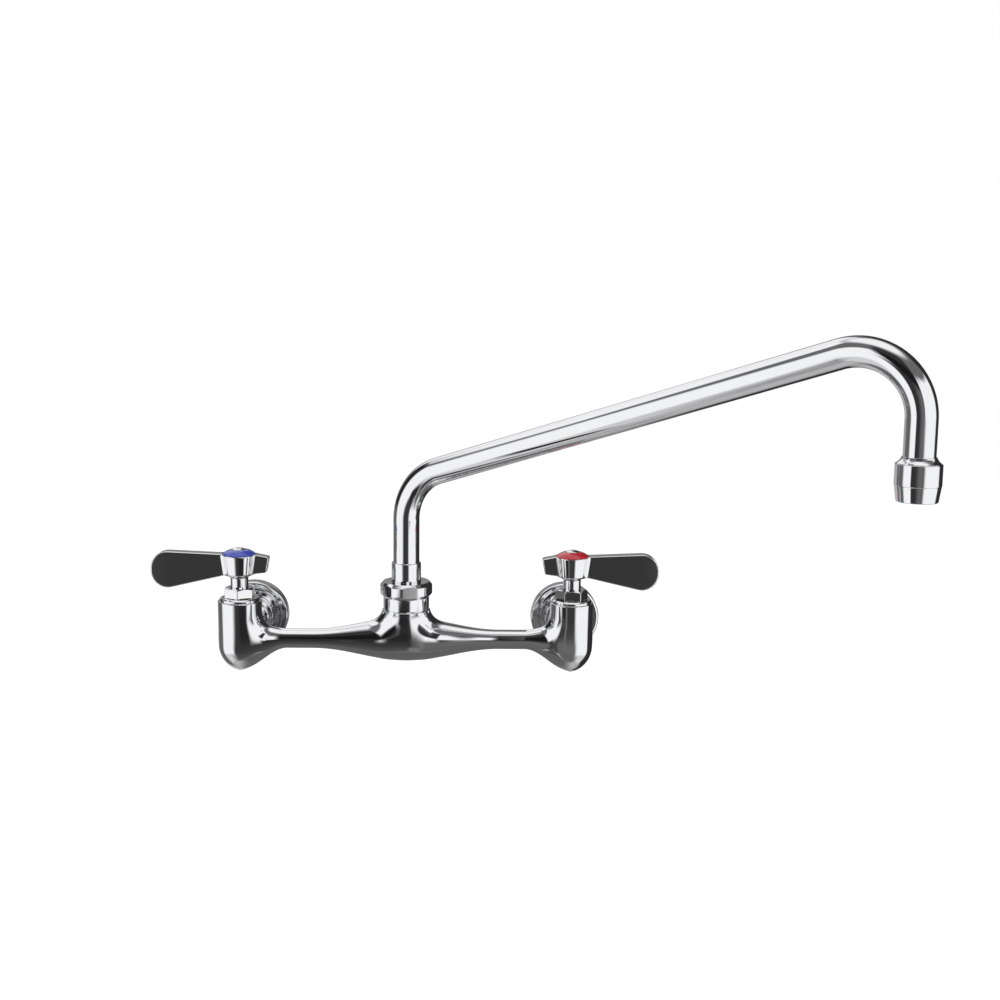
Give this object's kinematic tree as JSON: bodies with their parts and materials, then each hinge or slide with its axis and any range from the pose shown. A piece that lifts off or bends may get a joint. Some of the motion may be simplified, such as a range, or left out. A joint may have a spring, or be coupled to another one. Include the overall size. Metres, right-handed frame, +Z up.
{
  "type": "wall-mounted utility faucet",
  "caption": "Wall-mounted utility faucet with two lever valves on a cast mixing body and a long sloping swing spout with an aerator.",
  "frame": {"origin": "on the wall plane, midway between the two inlet axes", "axes": "+X towards the hot (right) inlet seen from the front, +Y into the wall, +Z up"},
  "size_m": [0.4234, 0.2378, 0.2142],
  "materials": {
    "chromed_brass": "polished",
    "bare_brass": "turned",
    "black_rubber": "matt",
    "fibre_gasket": "matt",
    "ceramic": "lapped",
    "steel_mesh": "woven",
    "white_plastic": "moulded",
    "cold_blue": "gloss",
    "hot_red": "gloss"
  },
  "bodies": {
    "faucet_body": {"mixing_body": "chromed_brass", "spout_nut": "chromed_brass", "left_wall_inlet": "chromed_brass", "left_wall_flange": "chromed_brass", "left_inlet_gasket": "fibre_gasket", "left_seat_seal": "black_rubber", "left_fixed_disc": "ceramic", "left_bonnet_ring": "chromed_brass", "left_bonnet": "chromed_brass", "left_bonnet_seal": "black_rubber", "right_wall_inlet": "chromed_brass", "right_wall_flange": "chromed_brass", "right_inlet_gasket": "fibre_gasket", "right_seat_seal": "black_rubber", "right_fixed_disc": "ceramic", "right_bonnet_ring": "chromed_brass", "right_bonnet": "chromed_brass", "right_bonnet_seal": "black_rubber"},
    "spout": {"spout_tube": "chromed_brass", "spout_sleeve": "chromed_brass", "spout_seals": "black_rubber", "spout_keeper_ring": "bare_brass", "outlet_nipple": "chromed_brass", "aerator_shell": "chromed_brass", "aerator_screen": "steel_mesh", "aerator_insert": "white_plastic", "aerator_washer": "black_rubber"},
    "left_handle": {"left_moving_disc": "ceramic", "left_stem": "bare_brass", "left_stem_seals": "black_rubber", "left_lever": "chromed_brass", "left_index_cap": "cold_blue", "left_handle_screw": "chromed_brass"},
    "right_handle": {"right_moving_disc": "ceramic", "right_stem": "bare_brass", "right_stem_seals": "black_rubber", "right_lever": "chromed_brass", "right_index_cap": "hot_red", "right_handle_screw": "chromed_brass"}
  },
  "joints": [
    {"name": "spout_swivel", "type": "hinge", "parent": "faucet_body", "child": "spout", "pos_m": [0, -0.063, 0.026], "axis": [0, 0, 1], "range_deg": [-147.6, 32.4]},
    {"name": "left_valve_turn", "type": "hinge", "parent": "faucet_body", "child": "left_handle", "pos_m": [-0.1016, -0.063, 0.03], "axis": [0, 0, 1], "range_deg": [0, 90]},
    {"name": "right_valve_turn", "type": "hinge", "parent": "faucet_body", "child": "right_handle", "pos_m": [0.1016, -0.063, 0.03], "axis": [0, 0, 1], "range_deg": [-90, 0]}
  ]
}
